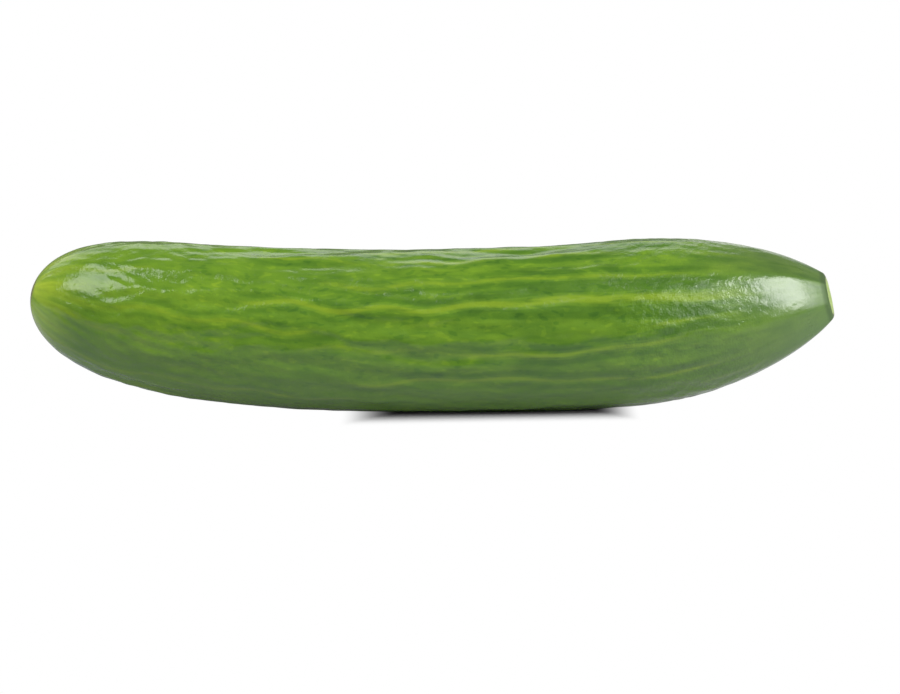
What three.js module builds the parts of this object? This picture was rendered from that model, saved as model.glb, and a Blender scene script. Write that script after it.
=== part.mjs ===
// A long greenhouse cucumber that lies on its belly, with both ends lifted by the fruit's own bow.
// It grew as one piece, so it is one solid: a turned profile, raised into ribs and wrinkles, then bent.
// Millimetres, +Z up. +X runs along the fruit towards the cut stem end, and the origin is on the
// surface that it rests on, under the middle of its box.
import * as THREE from "three";
import { mergeVertices } from "three/addons/utils/BufferGeometryUtils.js";

// The fruit's own sizes. Places along it are level distances from the blossom tip to the stem cut.
const LENGTH = 255.6;
const BLOSSOM_RADIUS = 24.95; // what the body would measure at the blossom tip without its rounding
const STEM_RADIUS = 27.25; // and at the stem cut, without its taper

// The axis rises from its lowest place by a power of the distance, and sways to the front at the stem.
const LOWEST = 155.5;
const TIP_BOW = { rise: 16, power: 2.9, reach: -LOWEST };
const STEM_BOW = { rise: 9.5, power: 1.8, reach: LENGTH - LOWEST };
const SWAY = { front: 3.6, start: 115 };

// The blossom end is a blunt dome, and the stem end a longer taper that the cut ends early.
const DOME = { reach: 223, fullness: 11.3, bluntness: 1.97 };
const TAPER = { reach: 73, fullness: 2, bluntness: 1.42, cutOff: 5.35 };

// The cut across the stem slants to the front and the top. Skin rounds over into it, and the flesh
// inside is a shallow dish.
const CUT_ROUND = 2;
const CUT_ROUND_STEPS = 3;
const CUT_DISH = 0.35;
const CUT_SLANT = { front: 0.09, up: 0.05 }; // how much the cut falls back for each millimetre
const CUT_REACH = 14; // length of skin that slants with it

// Rings of crests: ribs with flat facets between them at the stem, and creases that meet at the tip.
// Their first crest is given in degrees from the top round the front. Their height is a share of the
// fruit's radius, and dies away along the body.
const STEM_RIBS = { count: 7, first: 98, share: 0.075, fade: 36, roundness: 0.16 };
const TIP_CREASES = { count: 10, first: 80, share: 0.03, fade: 13, roundness: 0.3 };

// Long, wandering wrinkles over the whole skin, the sum of a few slanting waves.
const WRINKLE_HEIGHT = 0.1;
const WRINKLES_FEWEST = 8; // waves round the fruit
const WRINKLES_MOST = 26;
const WRINKLES_USUAL = 16;
const WRINKLES_SPREAD = 6;
const WRINKLE_LENGTH = 60; // shortest length along the fruit
const WRINKLE_FADE = { tip: 32, stem: 60 }; // smooth lengths at the two ends
const WANDER = { angle: 0.05, length: 90, twist: 2 };

// Its weight has pressed a small flat spot into the belly, and it rests on that.
const REST_FLAT = 0.75;

// Facets
const ROUND = 100;
const RINGS = 55;
const SAME_PLACE = 1e-4; // corners closer than this are one

const GOLDEN = 0.6180339887;
const TURN = 2 * Math.PI;

// A cap's share of the full radius, at a share of its reach from the end.
const capShare = (share, { fullness, bluntness }) =>
  (1 - Math.max(0, 1 - share) ** fullness) ** (1 / bluntness);

// The smooth fruit's radius at a distance along its axis.
function bodyRadius(along) {
  const straight = THREE.MathUtils.lerp(BLOSSOM_RADIUS, STEM_RADIUS, along / LENGTH);
  const dome = capShare(along / DOME.reach, DOME);
  const taper = capShare((LENGTH - along + TAPER.cutOff) / TAPER.reach, TAPER);
  return straight * dome * taper;
}

// The turned profile of the skin from the blossom tip to a place along it.
class SkinProfile extends THREE.Curve {
  constructor(end) {
    super();
    this.end = end;
  }

  getPoint(t) {
    const along = (this.end * (1 - Math.cos(Math.PI * t))) / 2;
    return new THREE.Vector2(bodyRadius(along), along);
  }
}

// The whole profile: skin, a round that carries on from the skin's own slope, and the dished cut.
function turnedProfile() {
  const slope = (bodyRadius(LENGTH - CUT_ROUND) - bodyRadius(LENGTH)) / CUT_ROUND;
  const start = Math.atan(slope);
  const end = LENGTH - CUT_ROUND * (1 - Math.sin(start));
  const skin = new SkinProfile(end).getSpacedPoints(RINGS);
  const flat = bodyRadius(end) - CUT_ROUND * Math.cos(start);
  const round = [];
  for (let i = 1; i <= CUT_ROUND_STEPS; i++) {
    const turn = THREE.MathUtils.lerp(start, Math.PI / 2, i / CUT_ROUND_STEPS);
    const inward = flat + CUT_ROUND * Math.cos(turn);
    round.push(new THREE.Vector2(inward, LENGTH - CUT_ROUND * (1 - Math.sin(turn))));
  }
  return [...skin, ...round, new THREE.Vector2(0, LENGTH - CUT_DISH)];
}

// Height of a ring of crests, as a share of the radius, at a distance from the end that it starts at.
function crests({ count, first, share, fade, roundness }, distance, angle) {
  const swing = Math.sin((count / 2) * (angle - THREE.MathUtils.degToRad(first)));
  return share * Math.exp(-distance / fade) * (1 - Math.hypot(swing, roundness));
}

// Height of the wrinkles: one wave for each whole number round the fruit, each with its own slant.
// Powers of the golden ratio draw the slants and the starts, and the whole field wanders sideways.
function wrinkles(along, angle) {
  const sway = Math.sin((TURN * along) / WANDER.length + WANDER.twist * Math.sin(angle));
  let height = 0;
  for (let waves = WRINKLES_FEWEST; waves <= WRINKLES_MOST; waves++) {
    const start = (waves ** 2 * GOLDEN) % 1;
    const slant = (2 * ((waves ** 3 * GOLDEN) % 1) - 1) / WRINKLE_LENGTH;
    const weight = Math.exp(-(((waves - WRINKLES_USUAL) / WRINKLES_SPREAD) ** 2));
    height += weight * Math.cos(waves * (angle + WANDER.angle * sway) + TURN * (slant * along + start));
  }
  const tip = 1 - Math.exp(-((along / WRINKLE_FADE.tip) ** 2));
  const stem = 1 - Math.exp(-(((LENGTH - along) / WRINKLE_FADE.stem) ** 2));
  return WRINKLE_HEIGHT * height * tip * stem;
}

// The bent axis: its place and its two cross directions at a distance along the fruit.
function axisFrame(along) {
  const { rise, power, reach } = along < LOWEST ? TIP_BOW : STEM_BOW;
  const bowed = (along - LOWEST) / reach;
  const bowSlope = ((rise * power) / reach) * bowed ** (power - 1);
  const swayed = Math.max(0, along - SWAY.start) / (LENGTH - SWAY.start);
  const swaySlope = (2 * SWAY.front * swayed) / (LENGTH - SWAY.start);
  const centre = new THREE.Vector3(along, -SWAY.front * swayed ** 2, rise * bowed ** power);
  const ahead = new THREE.Vector3(1, -swaySlope, bowSlope).normalize();
  const front = ahead.clone().cross(new THREE.Vector3(0, 0, 1)).normalize();
  const up = front.clone().cross(ahead);
  return { centre, front, up };
}

// Carries a point of the turned solid, whose axis is +Y, to its place on the bent fruit. Its angle
// runs from the top round the front.
function bend(point) {
  const along = point.y;
  const turned = Math.hypot(point.x, point.z);
  const angle = Math.atan2(point.x, point.z);
  const full = bodyRadius(along);
  const share = full > 0 ? Math.min(1, turned / full) : 0;
  const ribs = crests(STEM_RIBS, LENGTH - along, angle) - crests(TIP_CREASES, along, angle);
  const radius = turned + share * (full * ribs + wrinkles(along, angle));
  const toFront = radius * Math.sin(angle);
  const toTop = radius * Math.cos(angle);
  const slanted = THREE.MathUtils.smoothstep(along, LENGTH - CUT_REACH, LENGTH);
  const back = slanted * (CUT_SLANT.front * toFront + CUT_SLANT.up * toTop);
  const { centre, front, up } = axisFrame(along - back);
  return centre.addScaledVector(front, toFront).addScaledVector(up, toTop);
}

// The solid of the fruit, resting on its flat spot.
function cucumberGeometry() {
  const turned = new THREE.LatheGeometry(turnedProfile(), ROUND);
  turned.deleteAttribute("normal");
  turned.deleteAttribute("uv");
  const geometry = mergeVertices(turned, SAME_PLACE);
  const positions = geometry.getAttribute("position");
  const point = new THREE.Vector3();
  for (let i = 0; i < positions.count; i++) {
    point.copy(bend(point.fromBufferAttribute(positions, i)));
    positions.setXYZ(i, point.x, point.y, point.z);
  }
  geometry.computeBoundingBox();
  const { min, max } = geometry.boundingBox;
  geometry.translate(-(min.x + max.x) / 2, -(min.y + max.y) / 2, -min.z - REST_FLAT);
  for (let i = 0; i < positions.count; i++) {
    positions.setZ(i, Math.max(0, positions.getZ(i)));
  }
  geometry.computeVertexNormals();
  return geometry;
}

const skin = new THREE.MeshStandardMaterial({ color: 0x5c8a2c, roughness: 0.38, metalness: 0 });

const cucumber = new THREE.Mesh(cucumberGeometry(), skin);
cucumber.name = "cucumber";

const part = new THREE.Group();
part.add(cucumber);

export default part;
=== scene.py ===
import math

import bpy
import numpy as np
from mathutils import Matrix, Vector


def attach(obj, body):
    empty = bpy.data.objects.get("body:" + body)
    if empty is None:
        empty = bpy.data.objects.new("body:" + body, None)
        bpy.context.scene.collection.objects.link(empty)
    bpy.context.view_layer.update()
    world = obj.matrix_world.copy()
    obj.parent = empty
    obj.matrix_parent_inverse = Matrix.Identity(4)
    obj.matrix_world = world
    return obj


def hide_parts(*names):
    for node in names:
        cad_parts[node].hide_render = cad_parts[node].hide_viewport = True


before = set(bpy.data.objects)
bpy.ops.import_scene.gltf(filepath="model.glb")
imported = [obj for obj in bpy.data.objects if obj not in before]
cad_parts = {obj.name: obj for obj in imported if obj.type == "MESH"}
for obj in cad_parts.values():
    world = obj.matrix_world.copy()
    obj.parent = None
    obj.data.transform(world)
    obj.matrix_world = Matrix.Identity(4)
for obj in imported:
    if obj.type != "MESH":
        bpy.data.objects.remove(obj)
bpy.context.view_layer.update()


# The view. A long lens looks at the fruit's front side from a little above, leaning by about a degree,
# from far enough away that the fruit's two ends are seen almost square on.
VIEW_CENTRE = Vector((0.0054, 0, 0.0205))
VIEW_DISTANCE = 1.2
VIEW_ELEVATION = math.radians(10)
VIEW_LEAN = math.radians(1.1)
LENS_MM = 149.3


def view_matrix(centre, distance, elevation, lean):
    """The camera's place and its three directions, looking along +Y and down by the elevation. Its right
    and up directions are turned about the line of sight by the lean."""
    ahead = Vector((0, math.cos(elevation), -math.sin(elevation)))
    level_right = Vector((1, 0, 0))
    level_up = level_right.cross(ahead)
    right = level_right * math.cos(lean) - level_up * math.sin(lean)
    up = level_right * math.sin(lean) + level_up * math.cos(lean)
    turned = Matrix((right, up, -ahead)).transposed().to_4x4()
    return Matrix.Translation(centre - ahead * distance) @ turned


camera = bpy.data.objects.new("camera", bpy.data.cameras.new("camera"))
camera.data.lens = LENS_MM
camera.matrix_world = view_matrix(VIEW_CENTRE, VIEW_DISTANCE, VIEW_ELEVATION, VIEW_LEAN)
bpy.context.scene.collection.objects.link(camera)
bpy.context.scene.camera = camera
bpy.context.scene.view_settings.view_transform = "Standard"


# The table. A wide sheet of matt white board just under the belly, that runs past the edges of the view.
# It throws light back up at the fruit, and its colour is painted dimmer away from the fruit as a painted
# fall-off of light.
# The view sees it as glowing plain white with a painted contact shadow, and the fruit's gloss mirrors a
# share of that glow.
TABLE_HALF_WIDTH = 6.0
TABLE_DROP = 0.00005
TABLE_WHITE = (0.51, 0.52, 0.68)
# Reach of the painted fall-off of light that dims the board's colour away from the fruit.
TABLE_PAINTED_FALLOFF_REACH = 0.15
# The painted contact shadow: how open the room above is, put into the board's glow, and where it is cut
# off along X.
PAINTED_SHADOW_OPENNESS = (0.03, 0.46)  # of the room above, in the deepest shadow and in none
PAINTED_SHADOW_ENDS = ((-0.006, -0.058), (0.046, 0.088))  # along X, where each end starts and where it is gone
# Shares of the board's painted glow that the fruit's gloss mirrors.
PAINTED_GLOW_MIRROR_SHARES = (0.10, 0.66)  # towards the blossom, and at the stem
PAINTED_GLOW_MIRROR_ZONE = (0.02, 0.12)  # along X, between those


def surface_mesh(name, points, faces):
    """A smooth mesh from an array of points and a list of faces that index it."""
    mesh = bpy.data.meshes.new(name)
    mesh.from_pydata(points.tolist(), [], faces)
    mesh.shade_smooth()
    made = bpy.data.objects.new(name, mesh)
    bpy.context.scene.collection.objects.link(made)
    return made


class Finish:
    """A procedural material, with short ways to add its nodes. An input is a number, a colour or the
    output of another node."""

    def __init__(self, name):
        self.material = bpy.data.materials.new(name)
        self.material.use_nodes = True
        self.tree = self.material.node_tree
        self.shader = self.tree.nodes["Principled BSDF"]

    def put(self, socket, value):
        """Links the output of another node to a socket, or sets a constant on it."""
        if isinstance(value, bpy.types.NodeSocket):
            self.tree.links.new(value, socket)
        else:
            socket.default_value = value

    def node(self, kind, inputs=(), **settings):
        """A new node, with its settings and its inputs."""
        made = self.tree.nodes.new(kind)
        for key, value in settings.items():
            setattr(made, key, value)
        for socket, value in dict(inputs).items():
            self.put(made.inputs[socket], value)
        return made

    def math(self, operation, *values):
        """One step of arithmetic."""
        return self.node("ShaderNodeMath", enumerate(values), operation=operation).outputs[0]

    def ranged(self, value, low, high, least=0.0, most=1.0):
        """An S-curve from least to most, as the value goes from low to high."""
        limits = {"Value": value, "From Min": low, "From Max": high, "To Min": least, "To Max": most}
        return self.node("ShaderNodeMapRange", limits, interpolation_type="SMOOTHSTEP").outputs[0]


def table_points(half_width, drop):
    """The four corners of a level square, a drop under the surface that the fruit lies on."""
    across, back = np.meshgrid([-half_width, half_width], [-half_width, half_width])
    return np.stack([across.ravel(), back.ravel(), np.full(4, -drop)], axis=1)


def white_board():
    """Matt white, its colour painted dimmer the farther it lies from the fruit: one over one plus the
    square of the distance in reaches, a painted fall-off of light. The view shows it as glowing plain
    white but for a painted contact shadow where
    the belly touches: an S-curve of how open the room above each place is, that ends softly at two places
    along X. The fruit's gloss mirrors a share of that painted glow, more of it at the stem."""
    board = Finish("white_board")
    board.tree.nodes.remove(board.shader)
    place = board.node("ShaderNodeTexCoord").outputs["Object"]
    split = board.node("ShaderNodeSeparateXYZ", {0: place})
    across = split.outputs["X"]
    # Painted fall-off of light: the board's colour is dimmed away from the fruit.
    away = board.math("DIVIDE", split.outputs["Y"], TABLE_PAINTED_FALLOFF_REACH)
    lit = board.math("DIVIDE", 1.0, board.math("MULTIPLY_ADD", away, away, 1.0))
    painted_falloff_white = board.node("ShaderNodeVectorMath", {0: TABLE_WHITE, "Scale": lit}, operation="SCALE")
    matt = board.node("ShaderNodeBsdfDiffuse", {"Color": painted_falloff_white.outputs[0]})

    # Painted contact shadow: the openness of the room above sets the colour of a glow, cut off at two
    # places along X.
    openness = board.node("ShaderNodeAmbientOcclusion").outputs["AO"]
    for end in PAINTED_SHADOW_ENDS:
        openness = board.math("MAXIMUM", openness, board.ranged(across, *end))
    painted_shadow_glow = board.node("ShaderNodeEmission", {"Color": board.ranged(openness, *PAINTED_SHADOW_OPENNESS)})

    # Painted glow: the view sees the glowing white, and glossy rays see a share of it, more at the stem.
    ray = board.node("ShaderNodeLightPath")
    painted_glow_mirrored = board.ranged(across, *PAINTED_GLOW_MIRROR_ZONE, *PAINTED_GLOW_MIRROR_SHARES)
    painted_glow_mirrored = board.math("MULTIPLY", ray.outputs["Is Glossy Ray"], painted_glow_mirrored)
    shown = board.math("ADD", ray.outputs["Is Camera Ray"], painted_glow_mirrored)
    mix = board.node("ShaderNodeMixShader", {0: shown, 1: matt.outputs[0], 2: painted_shadow_glow.outputs[0]})
    board.put(board.tree.nodes["Material Output"].inputs["Surface"], mix.outputs[0])
    return board.material


table = surface_mesh("table", table_points(TABLE_HALF_WIDTH, TABLE_DROP), [(0, 1, 3, 2)])
table.data.materials.append(white_board())


# The light. Three soft boxes stand in front: a wide one to the left, a small, bright one to the right
# and a dim strip between them. A panel and a card behind bring out the top edge, and a dim room fills
# the rest.
ROOM_GREY = 0.18


def soft_box(name, direction, distance, width, height, radiance):
    """A rectangle of even light at a distance in a direction from the fruit, turned to face it. Its
    power is its radiance times pi times its area."""
    light = bpy.data.lights.new(name, "AREA")
    light.shape = "RECTANGLE"
    light.size = width
    light.size_y = height
    light.energy = radiance * math.pi * width * height
    made = bpy.data.objects.new(name, light)
    away = Vector(direction).normalized()
    made.location = away * distance
    made.rotation_euler = away.to_track_quat("Z", "Y").to_euler()
    made.visible_camera = False
    bpy.context.scene.collection.objects.link(made)


soft_box("left_box", (-0.56, -0.42, 0.78), distance=1.2, width=0.72, height=0.9, radiance=3.35)
soft_box("front_strip", (0.34, -0.74, 0.58), distance=1.2, width=0.24, height=0.8, radiance=2.5)
soft_box("right_box", (0.80, -0.43, 0.53), distance=1.2, width=0.6, height=0.65, radiance=9.7)
soft_box("back_panel", (-0.40, 1.0, 0.84), distance=2.0, width=2.1, height=0.9, radiance=1.1)
soft_box("back_card", (0.34, 1.0, 0.27), distance=2.0, width=0.7, height=0.8, radiance=1.3)


def dim_room(grey):
    """An even grey light from all round, that the view itself shows as plain white."""
    made = bpy.data.worlds.new("room")
    made.use_nodes = True
    tree = made.node_tree
    lit = tree.nodes["Background"]
    lit.inputs["Color"].default_value = (grey, grey, grey, 1)
    shown = tree.nodes.new("ShaderNodeBackground")
    shown.inputs["Color"].default_value = (1, 1, 1, 1)
    ray = tree.nodes.new("ShaderNodeLightPath")
    mix = tree.nodes.new("ShaderNodeMixShader")
    tree.links.new(ray.outputs["Is Camera Ray"], mix.inputs[0])
    tree.links.new(lit.outputs[0], mix.inputs[1])
    tree.links.new(shown.outputs[0], mix.inputs[2])
    tree.links.new(mix.outputs[0], tree.nodes["World Output"].inputs["Surface"])
    return made


bpy.context.scene.world = dim_room(ROOM_GREY)


# The cucumber. It grew as one piece on the vine: a long fruit with a thin waxy skin over firm flesh,
# rounded where the blossom sat and cut off flat at the stem. It lies loose on its belly.
LENGTH = 0.2556
BLOSSOM_RADIUS = 0.02495  # what the body would measure at the blossom tip without its rounding
STEM_RADIUS = 0.02725  # and at the stem cut, without its taper
LOWEST = 0.1555  # place along the fruit where its bowed axis is lowest
TIP_BOW = dict(rise=0.016, power=2.9, reach=-LOWEST)
STEM_BOW = dict(rise=0.0095, power=1.8, reach=LENGTH - LOWEST)
SWAY_FRONT = 0.0036
SWAY_START = 0.115
DOME = dict(reach=0.223, fullness=11.3, bluntness=1.97)
TAPER = dict(reach=0.073, fullness=2, bluntness=1.42)
TAPER_CUT_OFF = 0.00535  # length of the taper that is missing past the cut
STEM_RIBS = dict(count=7, first=math.radians(98), share=0.075, fade=0.036, roundness=0.16)
TIP_CREASES = dict(count=10, first=math.radians(80), share=0.03, fade=0.013, roundness=0.3)
CUT_ROUND = 0.002
CUT_DISH = 0.00035
CUT_DISH_SLOPE = 0.5  # share of the cut's radius over which the dish deepens
CUT_SLANT = dict(front=0.09, up=0.05)  # how far the cut falls back, as shares of the way out
CUT_REACH = 0.014  # length of skin that slants with it
REST_FLAT = 0.00075  # depth of the flat spot that its weight has pressed into the belly
GOLDEN = 0.6180339887
TURN = 2 * math.pi

# Wrinkles by the number of waves round the fruit: broad ones, finer ones, and low bumps. The bumps are
# higher in two zones, each with its middle, its reach and how much more it adds.
WRINKLES = dict(height=0.0001, fewest=8, most=26, usual=16, spread=6, shortest=0.060)
FINE_WRINKLES = dict(height=0.000022, fewest=27, most=56, usual=38, spread=11, shortest=0.016)
BUMPS = dict(height=0.000019, fewest=16, most=44, usual=30, spread=12, shortest=0.0055)
WRINKLE_TIP_FADE = 0.032
WRINKLE_STEM_FADE = 0.060
BUMP_TIP_FADE = 0.005
BUMP_STEM_FADE = 0.025
BUMP_LEAST = 0.28
BUMP_ZONES = ((0.030, 0.024, 0.85), (0.211, 0.020, 1.0))
WANDER = dict(angle=0.05, length=0.090, twist=2)
RIPPLE = dict(angle=0.016, length=0.021, twist=5)

RINGS = 392
ROUND = 224
LIP_RINGS = 7
CUT_RINGS = 12
PROFILE_STEPS = 4000


def cap_share(from_end, reach, fullness, bluntness):
    """A rounded end's share of the full radius: what is left of its reach, to a power, taken from one,
    and then a root of that."""
    return (1 - np.maximum(0, 1 - from_end / reach) ** fullness) ** (1 / bluntness)


def body_radius(along):
    """The smooth fruit's radius: a straight widening, times the dome's share and the taper's share."""
    straight = BLOSSOM_RADIUS + (STEM_RADIUS - BLOSSOM_RADIUS) * along / LENGTH
    return straight * cap_share(along, **DOME) * cap_share(LENGTH - along + TAPER_CUT_OFF, **TAPER)


def crests(distance, angle, count, first, share, fade, roundness):
    """A ring of crests: one less the rounded size of a sine round the fruit, dying away from its end."""
    swing = np.sin(count / 2 * (angle - first))
    return share * np.exp(-distance / fade) * (1 - np.hypot(swing, roundness))


def wandered(along, angle):
    """The angle, pushed to and fro by two waves along the fruit, one long and one short."""
    for wave in (WANDER, RIPPLE):
        phase = TURN * along / wave["length"] + wave["twist"] * np.sin(angle)
        angle = angle + wave["angle"] * np.sin(phase)
    return angle


def wave_field(along, angle, height, fewest, most, usual, spread, shortest):
    """The sum of one wave for each whole number round the fruit, each with its own slant and start,
    which multiples of the golden ratio draw. Waves near the usual number weigh most."""
    total = np.zeros_like(along)
    for waves in range(fewest, most + 1):
        start = waves ** 2 * GOLDEN % 1
        slant = (2 * (waves ** 3 * GOLDEN % 1) - 1) / shortest
        weight = math.exp(-(((waves - usual) / spread) ** 2))
        total += weight * np.cos(waves * angle + TURN * (slant * along + start))
    return height * total


def axis_frame(along):
    """The bent axis and its front and up directions: it rises from its lowest place by a power of the
    distance, and sways to the front by the square of the distance from where that starts."""
    towards_tip = along < LOWEST
    rise = np.where(towards_tip, TIP_BOW["rise"], STEM_BOW["rise"])
    power = np.where(towards_tip, TIP_BOW["power"], STEM_BOW["power"])
    reach = np.where(towards_tip, TIP_BOW["reach"], STEM_BOW["reach"])
    bowed = (along - LOWEST) / reach
    bow_slope = rise * power / reach * bowed ** (power - 1)
    swayed = np.maximum(0, along - SWAY_START) / (LENGTH - SWAY_START)
    sway_slope = 2 * SWAY_FRONT * swayed / (LENGTH - SWAY_START)
    centre = np.stack([along, -SWAY_FRONT * swayed ** 2, rise * bowed ** power], axis=-1)
    ahead = np.stack([np.ones_like(along), -sway_slope, bow_slope], axis=-1)
    ahead /= np.linalg.norm(ahead, axis=-1, keepdims=True)
    front = np.cross(ahead, (0, 0, 1))
    front /= np.linalg.norm(front, axis=-1, keepdims=True)
    return centre, front, np.cross(front, ahead)


def smooth_step(value, low, high):
    """0 at low, 1 at high and an S-curve between them, whichever of the two is more."""
    share = np.clip((value - low) / (high - low), 0, 1)
    return share * share * (3 - 2 * share)


def ring_places(end, count):
    """Places along the fruit that are evenly spaced on its curved profile, from the tip to an end."""
    along = end * (1 - np.cos(np.linspace(0, math.pi, PROFILE_STEPS))) / 2
    steps = np.hypot(np.diff(along), np.diff(body_radius(along)))
    walked = np.concatenate([[0], np.cumsum(steps)])
    return np.interp(np.linspace(0, walked[-1], count + 1)[1:], walked, along)


def fruit_grid():
    """The unbent fruit as rings of points: skin, a round that carries on from the skin's own slope over
    the lip, and a shallow dish in to the middle of the cut. Gives the place along the fruit, the angle
    from the top round the front, the plain radius, and a cut mark: 0 on skin, 1 past the lip and 2 in
    the middle."""
    lip_start = math.atan((body_radius(LENGTH - CUT_ROUND) - body_radius(LENGTH)) / CUT_ROUND)
    skin_along = ring_places(LENGTH - CUT_ROUND * (1 - math.sin(lip_start)), RINGS)
    flat = body_radius(skin_along[-1]) - CUT_ROUND * math.cos(lip_start)
    turned = np.linspace(lip_start, math.pi / 2, LIP_RINGS + 1)[1:]
    inward = np.linspace(0, 1, CUT_RINGS + 1)[1:-1]
    lip_along = LENGTH - CUT_ROUND * (1 - np.sin(turned))
    cut_along = LENGTH - CUT_DISH * smooth_step(inward, 0, CUT_DISH_SLOPE)
    along = np.concatenate([skin_along, lip_along, cut_along])
    lip_radius = flat + CUT_ROUND * np.cos(turned)
    radius = np.concatenate([body_radius(skin_along), lip_radius, flat * (1 - inward)])
    mark = np.concatenate([np.zeros(RINGS), np.linspace(0, 1, LIP_RINGS + 1)[1:], 1 + inward])
    angle = np.linspace(-math.pi, math.pi, ROUND, endpoint=False)
    return [np.array(np.broadcast_to(ring, (len(along), ROUND)))
            for ring in (along[:, None], angle[None, :], radius[:, None], mark[:, None])]


def relief(along, angle, fine):
    """The height of ribs, creases and wrinkles over the plain radius. Wrinkles die away towards both
    ends. The finer ones and the bumps are left out for a first look at how the fruit lies."""
    from_cut = np.maximum(0, LENGTH - along)
    faded = 1 - np.exp(-(along / WRINKLE_TIP_FADE) ** 2)
    faded = faded * (1 - np.exp(-(from_cut / WRINKLE_STEM_FADE) ** 2))
    ribs = crests(from_cut, angle, **STEM_RIBS) - crests(along, angle, **TIP_CREASES)
    bent = wandered(along, angle)
    wrinkled = faded * wave_field(along, bent, **WRINKLES)
    if fine:
        wrinkled = wrinkled + faded * wave_field(along, bent, **FINE_WRINKLES)
        bumpy = (1 - np.exp(-along / BUMP_TIP_FADE)) * (1 - np.exp(-from_cut / BUMP_STEM_FADE))
        zones = [more * np.exp(-((along - middle) / reach) ** 2) for middle, reach, more in BUMP_ZONES]
        bumpy = bumpy * (BUMP_LEAST + sum(zones))
        wrinkled = wrinkled + bumpy * wave_field(along, angle, **BUMPS)
    return body_radius(np.minimum(along, LENGTH)) * ribs + wrinkled


def bend(along, angle, radius):
    """Carries rings round a straight axis to their places round the bent one, with the last of them
    slanted as the cut is."""
    to_front, to_top = radius * np.sin(angle), radius * np.cos(angle)
    slanted = smooth_step(along, LENGTH - CUT_REACH, LENGTH)
    back = slanted * (CUT_SLANT["front"] * to_front + CUT_SLANT["up"] * to_top)
    centre, front, up = axis_frame(along - back)
    return centre + front * to_front[..., None] + up * to_top[..., None]


def ring_faces(rings, round_count):
    """Quads between neighbouring rings, and fans that close both ends on one point each."""
    ring, side = np.meshgrid(np.arange(rings - 1), np.arange(round_count), indexing="ij")
    beside = (side + 1) % round_count
    quads = np.stack([ring * round_count + side, ring * round_count + beside,
                      (ring + 1) * round_count + beside, (ring + 1) * round_count + side], axis=-1)
    around = np.arange(round_count)
    onward = (around + 1) % round_count
    tip = np.full(round_count, rings * round_count)
    last = (rings - 1) * round_count
    tip_fan = np.stack([tip, onward, around], axis=-1)
    cut_fan = np.stack([tip + 1, last + around, last + onward], axis=-1)
    return quads.reshape(-1, 4).tolist() + tip_fan.tolist() + cut_fan.tolist()


along, angle, radius, mark = fruit_grid()
share = radius / body_radius(np.minimum(along, LENGTH))
plain = bend(along, angle, radius + share * relief(along, angle, fine=False))
low, high = plain.min(axis=(0, 1)), plain.max(axis=(0, 1))
place = np.array([-(low[0] + high[0]) / 2, -(low[1] + high[1]) / 2, -low[2] - REST_FLAT])
skin_points = bend(along, angle, radius + share * relief(along, angle, fine=True)) + place
tip_point = axis_frame(np.array([0.0]))[0] + place
cut_point = axis_frame(np.array([LENGTH - CUT_DISH]))[0] + place
points = np.concatenate([skin_points.reshape(-1, 3), tip_point, cut_point])
points[:, 2] = np.maximum(points[:, 2], 0)
cucumber = surface_mesh("cucumber_skin", points, ring_faces(len(along), ROUND))


def point_attribute(mesh, name, kind, field, values):
    """Keeps one value for each point of a mesh under a name."""
    kept = mesh.attributes.new(name, kind, "POINT")
    kept.data.foreach_set(field, np.ascontiguousarray(values, dtype=np.float32).ravel())


# The skin's streaks. They are evenly spread lines, and the first of them is the main one. A zone is two
# places along the fruit, and what it belongs to comes in from the first to the second.
MEAN_RADIUS = 0.026
STREAKS = dict(count=19, first=math.radians(61.5), jitter=0.12, width=0.0011, seed=176)
STREAK_STRENGTHS = (0.55, 1.0)
STREAK_SWAY = dict(angle=0.045, length=0.110)
STREAK_RIPPLE = dict(angle=0.04, length=0.029, calmer=0.7, calmer_zone=(0.09, 0.17))
STREAK_BREAKS = dict(length=0.21, shorter=2.7, weaker=0.7, gone_to_whole=(-0.9, 0.4))
STREAK_EDGE = dict(share=0.6, off=2.1, more=0.5, more_zone=(0.12, 0.18))
STREAK_MEETING_ZONE = (0.03, 0)
MAIN_STREAK = dict(whole_zone=(0.060, 0.075), broader=0.8, broader_zone=(0.13, 0.18))


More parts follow.
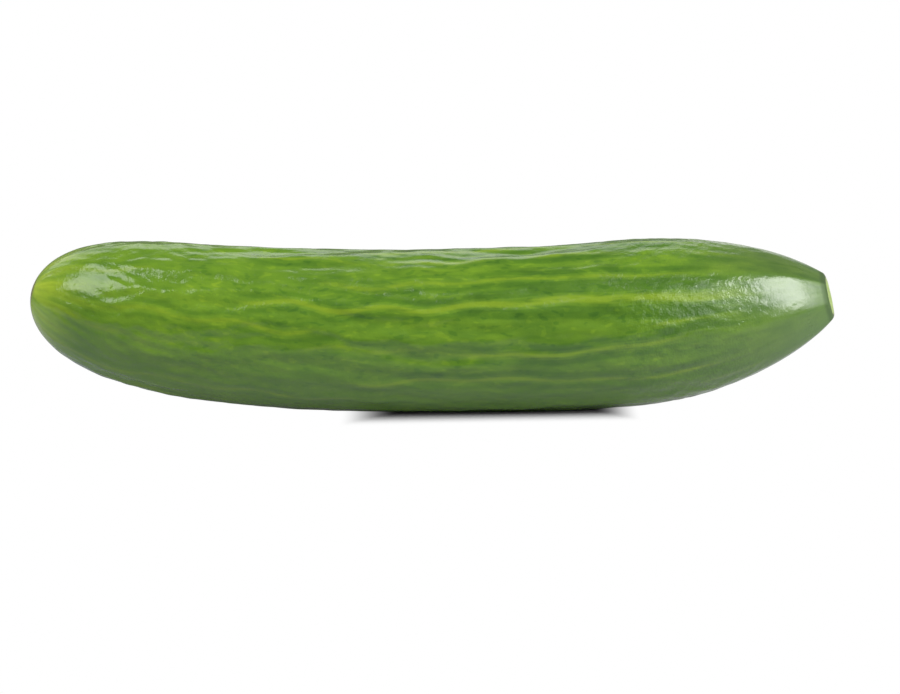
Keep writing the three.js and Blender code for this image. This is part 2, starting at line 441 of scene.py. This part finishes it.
def streaks(along, angle, radius, count, first, jitter, width, seed):
    """Pale lines along the fruit with dark edges, evenly spread round it but for a jitter. Across, each
    is a bell curve less two lower ones beside it. Along, it sways and ripples by two sines, and comes
    and goes by two more, but all of them meet at the tip. Multiples of the golden ratio draw their
    starts."""
    total = np.zeros_like(along)
    calmer = STREAK_RIPPLE["calmer"] * smooth_step(along, *STREAK_RIPPLE["calmer_zone"])
    ripple = STREAK_RIPPLE["angle"] * (1 - calmer)
    edge = STREAK_EDGE["share"] + STREAK_EDGE["more"] * smooth_step(along, *STREAK_EDGE["more_zone"])
    meeting = smooth_step(along, *STREAK_MEETING_ZONE)
    weakest, strongest = STREAK_STRENGTHS
    for line in range(count):
        draws = [(line + seed) ** power * GOLDEN % 1 for power in (1, 2, 3, 4)]
        middle = first + TURN * line / count + jitter * (draws[0] - 0.5)
        middle = middle + STREAK_SWAY["angle"] * np.sin(TURN * (along / STREAK_SWAY["length"] + draws[1]))
        middle = middle + ripple * np.sin(TURN * (along / STREAK_RIPPLE["length"] + draws[2]))
        off = np.abs((angle - middle + math.pi) % TURN - math.pi) * radius / width
        lengths = along / STREAK_BREAKS["length"]
        breaks = np.sin(TURN * (lengths + draws[3]))
        shorter = np.sin(TURN * (STREAK_BREAKS["shorter"] * lengths + draws[0]))
        breaks = breaks + STREAK_BREAKS["weaker"] * shorter
        there = np.maximum(smooth_step(breaks, *STREAK_BREAKS["gone_to_whole"]), meeting)
        strength = weakest + (strongest - weakest) * draws[2]
        if line == 0:
            off = off / (1 + MAIN_STREAK["broader"] * smooth_step(along, *MAIN_STREAK["broader_zone"]))
            there = np.maximum(there, smooth_step(along, *MAIN_STREAK["whole_zone"]))
            strength = strongest
        across = np.exp(-off ** 2) - edge * np.exp(-(off - STREAK_EDGE["off"]) ** 2)
        total += strength * there * across
    return total


# Each point keeps its place on a straight drum of the mean radius, how pale or dark the streaks make it,
# and its cut mark. The tip and the middle of the cut come last.
straightened = [along, MEAN_RADIUS * np.sin(angle), MEAN_RADIUS * np.cos(angle)]
unrolled = np.stack(straightened, axis=-1).reshape(-1, 3)
unrolled = np.concatenate([unrolled, [[0, 0, 0], [LENGTH, 0, 0]]])
point_attribute(cucumber.data, "unrolled", "FLOAT_VECTOR", "vector", unrolled)
lines = streaks(along, angle, radius, **STREAKS)
point_attribute(cucumber.data, "streak", "FLOAT", "value", np.concatenate([lines.ravel(), [0, 0]]))
point_attribute(cucumber.data, "cut", "FLOAT", "value", np.concatenate([mark.ravel(), [0, 2]]))


# The skin's finish. Patterns are noise with a scale along, across and up the fruit, straightened. Colours
# are linear, and shades are multiplied into them.
BLOSSOM_GREEN = (0.50, 0.72, 0.050)
DOME_GREEN = dict(colour=(0.150, 0.294, 0.016), zone=(-0.004, 0.020))
BODY_GREEN = dict(colour=(0.122, 0.254, 0.0140), zone=(0.06, 0.15))
STEM_GREEN = dict(colour=(0.110, 0.211, 0.031), zone=(0.19, 0.25))
# Painted shade that darkens the top facet near the stem.
STEM_TOP_PAINTED_SHADE = dict(shade=(0.76, 0.76, 0.92), heights=(0.0165, 0.0195), zone=(0.205, 0.245))
BELLY = dict(heights=(-0.002, -0.018), marks=0.45)  # how strong the marks still are there
STRAYING = dict(scale=(60, 24, 24), detail=1.0)
STRAYING_MIDDLE = (0.5, 0.5, 0.5)
STRAYING_REACH = 0.0045
CLOUDS = dict(scale=(16, 45, 45))
CLOUD_SHADES = dict(contrast=(0.3, 0.7), dark=(0.88, 0.92, 0.95), pale=(1.12, 1.08, 1.0))
MOTTLE = dict(scale=(130, 180, 180), detail=2.5)
MOTTLE_SHADES = dict(contrast=(0.3, 0.7), dark=(0.84, 0.89, 0.94), pale=(1.16, 1.11, 1.05))
DASHES = dict(scale=(75, 520, 520))
DASH_SHADES = dict(contrast=(0.25, 0.75), dark=(0.87, 0.91, 0.96), pale=(1.13, 1.09, 1.04))
DASH_ZONES = ((0.004, 0.12), (0.26, 0.21))
FLECKS = dict(scale=(230, 520, 520), detail=1.0)
FLECK_ZONES = ((0.02, 0.06), (0.24, 0.19))
DARK_FLECKS = dict(levels=(0.40, 0.30), shade=(0.72, 0.82, 0.85))
PALE_FLECKS = dict(levels=(0.60, 0.70), shade=(1.30, 1.18, 1.10))
PATCHES = dict(scale=(45, 210, 210), detail=1.5)
DARK_PATCHES = dict(levels=(0.55, 0.68), colour=(0.066, 0.162, 0.010), share=0.5, zone=(-0.03, 0.17))
STREAK_START = dict(zone=(0.02, 0.08), least=0.85)
STREAK_END_ZONE = (0.24, 0.21)
DARK_EDGES = dict(levels=(-0.03, -0.5), shade=(0.70, 0.80, 0.80))
PALE_STREAKS = dict(levels=(0.1, 0.9), dashed=(0.20, 0.55), colour=(0.250, 0.385, 0.016), share=0.8)
SCAR = dict(zone=(0.0011, 0.0004), colour=(0.36, 0.36, 0.12))
# The lip is dried and dull, and its darker colour is also painted shade where the skin turns over it.
DRIED_SHADED_LIP = dict(zone=(LENGTH - 0.0021, LENGTH - 0.0009), colour=(0.055, 0.115, 0.020), share=0.8)
LIP_ROUGHNESS = 0.6

# The cut's colours, by the cut mark.
CUT_EDGE = (0.70, 0.95)
RIND = dict(colour=(0.10, 0.11, 0.05), ends=(0.95, 1.10))
FLESH = dict(contrast=(0.35, 0.65), dark=(0.38, 0.52, 0.13), pale=(0.46, 0.58, 0.20))
FLESH_RING = dict(zones=((1.30, 1.48), (1.66, 1.48)), colour=(0.25, 0.40, 0.08), share=0.6)

# The skin's gloss and pitting.
WAX_IOR = 1.63
ROUGHNESS = dict(zone=(0.02, 0.22), tip=0.08, stem=0.15, dashes=0.16)
RUBBED = dict(zone=(LENGTH - 0.010, LENGTH - 0.001), rougher=0.22)
GRAIN = dict(scale=(420, 420, 420), detail=3.0, roughness=0.6)
GRAIN_DEPTH = dict(zone=(0.03, 0.2), tip=0.00022, stem=0.0001)
PITTED = dict(zones=((0.178, 0.200), (0.238, 0.222)), deeper=0.00028)


class SkinFinish(Finish):
    """The fruit's material before its looks: where each place is on the fruit, the patterns that colour,
    gloss and pitting share, and short ways to mix them."""

    def __init__(self, name):
        super().__init__(name)
        self.straight = self.attribute("unrolled", "Vector")
        split = self.node("ShaderNodeSeparateXYZ", {0: self.straight})
        self.along = split.outputs["X"]
        self.height = split.outputs["Z"]
        self.cut = self.attribute("cut", "Fac")
        self.marked = self.ranged(self.height, *BELLY["heights"], 1.0, BELLY["marks"])
        self.dried = self.zoned(self.along, DRIED_SHADED_LIP["zone"])
        push = self.noise(self.straight, "Color", **STRAYING)
        push = self.vector_math("SUBTRACT", {0: push, 1: STRAYING_MIDDLE})
        push = self.vector_math("SCALE", {0: push, "Scale": STRAYING_REACH})
        self.strayed = self.vector_math("ADD", {0: self.straight, 1: push})
        self.dashes = self.noise(self.strayed, "Fac", **DASHES)
        self.grain = self.noise(self.node("ShaderNodeTexCoord").outputs["Object"], "Fac", **GRAIN)

    def attribute(self, name, output):
        """What each point of the mesh keeps under a name."""
        return self.node("ShaderNodeAttribute", attribute_name=name).outputs[output]

    def noise(self, vector, output, scale, detail=2.0, roughness=0.5):
        """Noise with its own scale in each direction."""
        scaled = self.node("ShaderNodeMapping", {"Vector": vector, "Scale": scale}).outputs[0]
        inputs = {"Vector": scaled, "Scale": 1.0, "Detail": detail, "Roughness": roughness}
        return self.node("ShaderNodeTexNoise", inputs).outputs[output]

    def vector_math(self, operation, inputs):
        """One step of arithmetic on vectors."""
        return self.node("ShaderNodeVectorMath", inputs, operation=operation).outputs[0]

    def product(self, first, *others):
        """All values multiplied."""
        for other in others:
            first = self.math("MULTIPLY", first, other)
        return first

    def zoned(self, value, *zones):
        """S-curves into one or more zones, multiplied."""
        return self.product(*[self.ranged(value, *zone) for zone in zones])

    def sloped(self, value, low, high, least, most):
        """A straight slope from least to most, as the value goes from low to high."""
        limits = {"Value": value, "From Min": low, "From Max": high, "To Min": least, "To Max": most}
        return self.node("ShaderNodeMapRange", limits).outputs[0]

    def mixed(self, share, first, second, blend="MIX"):
        """A share of the second colour over the first. The node's colours are its inputs 6 and 7 and its
        output 2."""
        made = self.node("ShaderNodeMix", {0: share}, data_type="RGBA", blend_type=blend)
        for socket, colour in ((made.inputs[6], first), (made.inputs[7], second)):
            self.put(socket, (*colour, 1) if isinstance(colour, tuple) else colour)
        return made.outputs[2]

    def shaded(self, share, colour, pattern, contrast, dark, pale):
        """A share of a pattern's shade, from its dark one to its pale one, multiplied into a colour."""
        shade = self.mixed(self.zoned(pattern, contrast), dark, pale)
        return self.mixed(share, colour, shade, "MULTIPLY")


def skin_colour(skin):
    """Green that goes from yellowish at the blossom to deep at the stem, varied by clouds, mottle,
    dashes, flecks and dark patches, under pale streaks with dark edges. Most of these are weaker on the
    belly."""
    colour = BLOSSOM_GREEN
    for green in (DOME_GREEN, BODY_GREEN, STEM_GREEN):
        colour = skin.mixed(skin.zoned(skin.along, green["zone"]), colour, green["colour"])
    colour = skin.shaded(1.0, colour, skin.noise(skin.straight, "Fac", **CLOUDS), **CLOUD_SHADES)
    colour = skin.shaded(skin.marked, colour, skin.noise(skin.straight, "Fac", **MOTTLE), **MOTTLE_SHADES)
    dashed = skin.product(skin.zoned(skin.along, *DASH_ZONES), skin.marked)
    colour = skin.shaded(dashed, colour, skin.dashes, **DASH_SHADES)

    flecked = skin.product(skin.zoned(skin.along, *FLECK_ZONES), skin.marked)
    flecks = skin.noise(skin.strayed, "Fac", **FLECKS)
    for kind in (DARK_FLECKS, PALE_FLECKS):
        share = skin.product(flecked, skin.zoned(flecks, kind["levels"]))
        colour = skin.mixed(share, colour, kind["shade"], "MULTIPLY")
    dark = skin.zoned(skin.noise(skin.strayed, "Fac", **PATCHES), DARK_PATCHES["levels"])
    zone = skin.zoned(skin.along, DARK_PATCHES["zone"])
    dark = skin.product(zone, skin.marked, dark, DARK_PATCHES["share"])
    colour = skin.mixed(dark, colour, DARK_PATCHES["colour"])

    streak = skin.attribute("streak", "Fac")
    lined = skin.sloped(skin.along, *STREAK_START["zone"], STREAK_START["least"], 1.0)
    lined = skin.product(lined, skin.zoned(skin.along, STREAK_END_ZONE))
    edge = skin.product(skin.zoned(streak, DARK_EDGES["levels"]), lined, skin.marked)
    colour = skin.mixed(edge, colour, DARK_EDGES["shade"], "MULTIPLY")
    pale = skin.zoned(streak, PALE_STREAKS["levels"])
    dashed = skin.zoned(skin.dashes, PALE_STREAKS["dashed"])
    pale = skin.product(pale, dashed, lined, PALE_STREAKS["share"])
    return skin.mixed(pale, colour, PALE_STREAKS["colour"])


def end_colours(skin, colour):
    """The same skin with a dry scar where the blossom sat, a dried lip whose darker colour is partly
    painted shade, painted shade on the top facet at the stem, and pale flesh with a thin rind and one
    faint ring in the cut."""
    colour = skin.mixed(skin.zoned(skin.along, SCAR["zone"]), colour, SCAR["colour"])
    # Dried lip, darkened partly as painted shade where the skin turns over it.
    colour = skin.mixed(skin.product(skin.dried, DRIED_SHADED_LIP["share"]), colour, DRIED_SHADED_LIP["colour"])
    # Painted shade: the top facet near the stem is darkened by its height.
    deep = skin.zoned(skin.height, STEM_TOP_PAINTED_SHADE["heights"])
    deep = skin.product(deep, skin.zoned(skin.along, STEM_TOP_PAINTED_SHADE["zone"]))
    colour = skin.mixed(deep, colour, STEM_TOP_PAINTED_SHADE["shade"], "MULTIPLY")
    flesh = skin.mixed(skin.zoned(skin.grain, FLESH["contrast"]), FLESH["dark"], FLESH["pale"])
    ring = skin.product(skin.zoned(skin.cut, *FLESH_RING["zones"]), FLESH_RING["share"])
    flesh = skin.mixed(ring, flesh, FLESH_RING["colour"])
    inside = skin.mixed(skin.zoned(skin.cut, RIND["ends"]), RIND["colour"], flesh)
    return skin.mixed(skin.zoned(skin.cut, CUT_EDGE), colour, inside)


def skin_roughness(skin):
    """Glossy wax, a little rougher towards the stem and where dashes are pale, rubbed near the cut and
    dull on the dried lip. The last node's numbers are its inputs 2 and 3."""
    rough = skin.sloped(skin.along, *ROUGHNESS["zone"], ROUGHNESS["tip"], ROUGHNESS["stem"])
    rough = skin.math("MULTIPLY_ADD", skin.dashes, ROUGHNESS["dashes"], rough)
    rubbed = skin.zoned(skin.along, RUBBED["zone"])
    rough = skin.math("MULTIPLY_ADD", rubbed, RUBBED["rougher"], rough)
    return skin.node("ShaderNodeMix", {0: skin.dried, 2: rough, 3: LIP_ROUGHNESS}).outputs[0]


def skin_pitting(skin):
    """A fine grain that is deeper towards the blossom, and deepest in a band before the stem."""
    depth = skin.sloped(skin.along, *GRAIN_DEPTH["zone"], GRAIN_DEPTH["tip"], GRAIN_DEPTH["stem"])
    pitted = skin.zoned(skin.along, *PITTED["zones"])
    depth = skin.math("MULTIPLY_ADD", pitted, PITTED["deeper"], depth)
    bump = skin.node("ShaderNodeBump", {"Strength": 1.0, "Distance": depth, "Height": skin.grain})
    return bump.outputs[0]


def cucumber_skin():
    """Waxy skin over pale flesh."""
    skin = SkinFinish("cucumber_skin")
    skin.put(skin.shader.inputs["Base Color"], end_colours(skin, skin_colour(skin)))
    skin.put(skin.shader.inputs["Roughness"], skin_roughness(skin))
    skin.put(skin.shader.inputs["Normal"], skin_pitting(skin))
    skin.put(skin.shader.inputs["IOR"], WAX_IOR)
    return skin.material


cucumber.data.materials.append(cucumber_skin())
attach(cucumber, "root")
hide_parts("cucumber")
